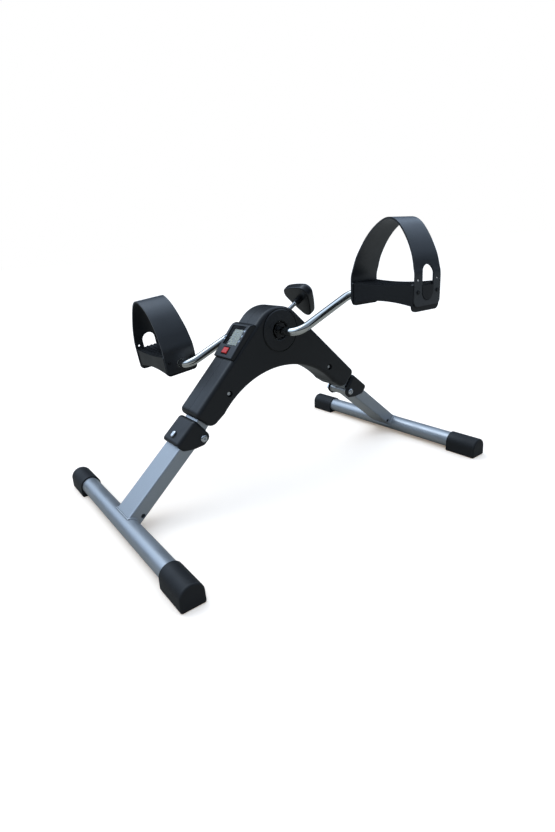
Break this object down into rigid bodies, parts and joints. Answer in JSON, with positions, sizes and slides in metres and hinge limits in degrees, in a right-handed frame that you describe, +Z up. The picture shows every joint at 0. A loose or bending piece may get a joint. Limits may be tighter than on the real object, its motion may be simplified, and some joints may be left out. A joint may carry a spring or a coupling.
{
  "type": "folding pedal exerciser",
  "caption": "Folding pedal exerciser: arched black housing on a silver tube frame, chrome cranks, strapped pedals, display module, tension knob and hinged legs with capped feet.",
  "frame": {"origin": "on the floor, under the centre of the bounding box", "axes": "+X along the length from the display end to the tension-knob end, +Y to the left pedal, +Z up"},
  "size_m": [0.543, 0.3868, 0.3647],
  "materials": {
    "black_plastic": "satin black moulding, fine spark texture",
    "display_plastic": "satin black moulding",
    "knob_plastic": "smooth semi-gloss black",
    "pedal_plastic": "satin black moulding",
    "strap_plastic": "flexible satin black polypropylene",
    "silver_paint": "metallic silver-grey powder coat",
    "bare_steel": "plain steel",
    "dark_steel": "oiled black-oxide steel",
    "bright_zinc": "bright zinc plate",
    "chrome": "polished chrome plate",
    "magnet_grey": "nickel-plated magnet",
    "nylon": "natural nylon",
    "felt": "dense grey wool felt",
    "cap_rubber": "matte black rubber",
    "clear_window": "clear acrylic",
    "lcd_glass": "grey-green liquid crystal panel",
    "board_green": "green solder mask",
    "wire_sheath": "soft black sheath",
    "red_plastic": "glossy red"
  },
  "bodies": {
    "frame": {"housing_left": "black_plastic", "housing_right": "black_plastic", "housing_screws": "bright_zinc", "frame_tube_front": "silver_paint", "frame_tube_rear": "silver_paint", "crank_bracket": "bare_steel", "crank_bearing_left": "nylon", "crank_bearing_right": "nylon", "hinge_cover_front": "black_plastic", "hinge_cover_rear": "black_plastic", "hinge_rivets": "bare_steel", "pivot_bolts": "bright_zinc", "pivot_nuts": "bright_zinc", "display_case": "display_plastic", "display_tray": "display_plastic", "display_window": "clear_window", "lcd_panel": "lcd_glass", "circuit_board": "board_green", "button_cell": "bright_zinc", "speed_sensor": "nylon", "sensor_wire": "wire_sheath", "tension_nut": "bright_zinc", "reset_dome": "bright_zinc"},
    "reset_button": {"reset_button": "red_plastic"},
    "brake_carrier": {"brake_shoe": "nylon", "brake_felt": "felt"},
    "tension_knob": {"tension_knob": "knob_plastic", "tension_screw": "bright_zinc"},
    "crank": {"axle_sleeve": "dark_steel", "crank_right": "chrome", "crank_left": "chrome", "brake_drum": "bare_steel", "axle_nuts": "dark_steel", "axle_washers": "dark_steel", "magnet_disc": "nylon", "sensor_magnet": "magnet_grey", "pin_clips": "bare_steel"},
    "right_pedal": {"right_pedal_body": "pedal_plastic", "right_pedal_bushes": "nylon", "right_strap": "strap_plastic"},
    "left_pedal": {"left_pedal_body": "pedal_plastic", "left_pedal_bushes": "nylon", "left_strap": "strap_plastic"},
    "front_leg": {"front_leg_tube": "silver_paint", "front_pivot_bush": "bare_steel", "front_foot_tube": "silver_paint", "front_foot_cap_left": "cap_rubber", "front_foot_cap_right": "cap_rubber", "front_lock_spring": "bare_steel"},
    "front_lock_button": {"front_lock_button": "bright_zinc"},
    "rear_leg": {"rear_leg_tube": "silver_paint", "rear_pivot_bush": "bare_steel", "rear_foot_tube": "silver_paint", "rear_foot_cap_left": "cap_rubber", "rear_foot_cap_right": "cap_rubber", "rear_lock_spring": "bare_steel"},
    "rear_lock_button": {"rear_lock_button": "bright_zinc"}
  },
  "joints": [
    {"name": "crank_spin", "type": "hinge", "parent": "frame", "child": "crank", "pos_m": [0, 0, 0.2275], "axis": [0, 1, 0], "continuous": true},
    {"name": "right_pedal_spin", "type": "hinge", "parent": "crank", "child": "right_pedal", "pos_m": [0.1057, 0, 0.2702], "axis": [0, 1, 0], "continuous": true},
    {"name": "left_pedal_spin", "type": "hinge", "parent": "crank", "child": "left_pedal", "pos_m": [-0.1057, 0, 0.18479], "axis": [0, 1, 0], "continuous": true},
    {"name": "front_leg_fold", "type": "hinge", "parent": "frame", "child": "front_leg", "pos_m": [-0.13893, 0, 0.10363], "axis": [0, -1, 0], "range_deg": [0, 105], "deforming": ["front_lock_button"]},
    {"name": "front_lock_press", "type": "slide", "parent": "front_leg", "child": "front_lock_button", "axis": [0.6508, 0, -0.7593], "range_m": [0, 0.006], "stiffness_N_per_m": 1500, "springref_m": -0.004, "deforming": ["front_lock_spring"]},
    {"name": "rear_leg_fold", "type": "hinge", "parent": "frame", "child": "rear_leg", "pos_m": [0.13893, 0, 0.10363], "axis": [0, 1, 0], "range_deg": [0, 105], "deforming": ["rear_lock_button"]},
    {"name": "rear_lock_press", "type": "slide", "parent": "rear_leg", "child": "rear_lock_button", "axis": [-0.6508, 0, -0.7593], "range_m": [0, 0.006], "stiffness_N_per_m": 1500, "springref_m": -0.004, "deforming": ["rear_lock_spring"]},
    {"name": "reset_press", "type": "slide", "parent": "frame", "child": "reset_button", "axis": [0.7096, 0, -0.7046], "range_m": [0, 0.0008], "stiffness_N_per_m": 600, "springref_m": -0.001, "deforming": ["reset_dome"]},
    {"name": "brake_travel", "type": "slide", "parent": "frame", "child": "brake_carrier", "axis": [-0.8526, 0, -0.5225], "range_m": [-0.00201, 0.00101]},
    {"name": "tension_turn", "type": "hinge", "parent": "brake_carrier", "child": "tension_knob", "pos_m": [0.03312, 0, 0.24779], "axis": [-0.8526, 0, -0.5225], "range_deg": [-720, 360]}
  ],
  "couplings": [
    {"joint": "brake_travel", "follows": "tension_turn", "m_per_rad": 0.00015915}
  ]
}
